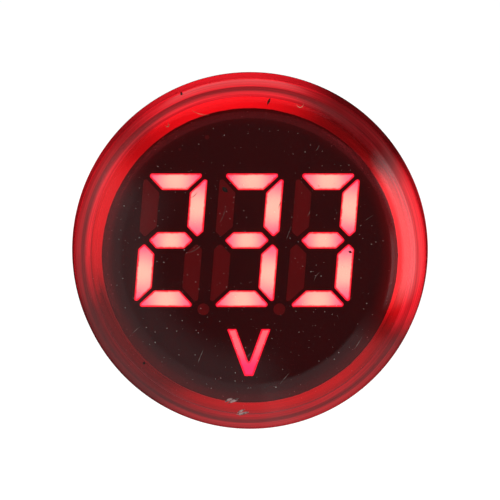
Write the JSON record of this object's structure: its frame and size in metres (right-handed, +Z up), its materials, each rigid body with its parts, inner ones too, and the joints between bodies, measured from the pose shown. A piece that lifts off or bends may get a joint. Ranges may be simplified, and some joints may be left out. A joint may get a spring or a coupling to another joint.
{
  "type": "round digital panel voltmeter",
  "caption": "Round red panel meter for a 22 mm hole: domed tinted lens, lit seven-segment digits and unit letter, threaded barrel, lock nut, rear screw terminals.",
  "frame": {"origin": "centre of the panel hole in the panel's front plane, where the gasket's rear face bears", "axes": "display faces -Y, +Y runs back along the barrel to the terminals, +Z is up the digits, +X is to the viewer's right"},
  "size_m": [0.029, 0.0509, 0.029],
  "materials": {
    "tinted_lens": "transparent red polycarbonate, fine scratches",
    "seal_rubber": "matt",
    "gasket_rubber": "matt, moulded",
    "face_print": "black print, semi-matt",
    "white_moulding": "white moulding, satin",
    "lit_segment": "red diffusing epoxy, lit",
    "lit_letter": "red diffusing epoxy, lit less brightly",
    "dark_segment": "red diffusing epoxy, unlit",
    "circuit_board": "green solder mask",
    "led_chip": "clear-capped chip",
    "chip_epoxy": "black moulded epoxy",
    "gold_pin": "gold flash",
    "capacitor_sleeve": "shrunk sleeve",
    "film_case": "moulded case",
    "disc_epoxy": "dipped epoxy",
    "resistor_enamel": "enamel",
    "black_nylon": "moulded nylon, satin",
    "plated_steel": "zinc plated",
    "plate_brass": "stamped",
    "clear_cover": "clear polycarbonate"
  },
  "bodies": {
    "meter": {"lens": "tinted_lens", "lens_seal": "seal_rubber", "face_mask": "face_print", "reflector": "white_moulding", "hundreds_lit": "lit_segment", "tens_lit": "lit_segment", "units_lit": "lit_segment", "unit_letter": "lit_letter", "hundreds_dark": "dark_segment", "tens_dark": "dark_segment", "units_dark": "dark_segment", "decimal_points": "dark_segment", "display_board": "circuit_board", "power_board": "circuit_board", "led_chips": "led_chip", "driver_chip": "chip_epoxy", "bridge_rectifier": "chip_epoxy", "header_block": "chip_epoxy", "header_pins": "gold_pin", "smoothing_capacitor": "capacitor_sleeve", "dropper_capacitor": "film_case", "surge_disc": "disc_epoxy", "drop_resistors": "resistor_enamel", "housing": "black_nylon", "terminal_block": "black_nylon", "panel_gasket": "gasket_rubber", "terminal_plate_left": "plate_brass", "terminal_plate_right": "plate_brass"},
    "washer_slider": {"keyed_washer": "plated_steel"},
    "nut_turner": {"lock_nut": "black_nylon"},
    "clamp_left": {"clamp_plate_left": "plated_steel"},
    "clamp_right": {"clamp_plate_right": "plated_steel"},
    "screw_left": {"terminal_screw_left": "plated_steel"},
    "screw_right": {"terminal_screw_right": "plated_steel"},
    "cover": {"terminal_cover": "clear_cover"}
  },
  "joints": [
    {"name": "washer_travel", "type": "slide", "parent": "meter", "child": "washer_slider", "axis": [0, 1, 0], "range_m": [-0.0014, 0.0115]},
    {"name": "nut_spin", "type": "hinge", "parent": "washer_slider", "child": "nut_turner", "pos_m": [0, 0, 0], "axis": [0, 1, 0], "range_deg": [-340, 2765]},
    {"name": "clamp_travel_left", "type": "slide", "parent": "meter", "child": "clamp_left", "axis": [0, 1, 0], "range_m": [0, 0.0025]},
    {"name": "clamp_travel_right", "type": "slide", "parent": "meter", "child": "clamp_right", "axis": [0, 1, 0], "range_m": [0, 0.0025]},
    {"name": "screw_spin_left", "type": "hinge", "parent": "clamp_left", "child": "screw_left", "pos_m": [-0.0046, 0, 0], "axis": [0, 1, 0], "range_deg": [0, 1505]},
    {"name": "screw_spin_right", "type": "hinge", "parent": "clamp_right", "child": "screw_right", "pos_m": [0.0046, 0, 0], "axis": [0, 1, 0], "range_deg": [0, 1505]},
    {"name": "cover_pull", "type": "slide", "parent": "meter", "child": "cover", "axis": [0, 1, 0], "range_m": [0, 0.0085]}
  ],
  "couplings": [
    {"joint": "nut_spin", "follows": "washer_travel", "rad_per_m": 4188.8},
    {"joint": "screw_spin_left", "follows": "clamp_travel_left", "rad_per_m": 10472},
    {"joint": "screw_spin_right", "follows": "clamp_travel_right", "rad_per_m": 10472}
  ]
}
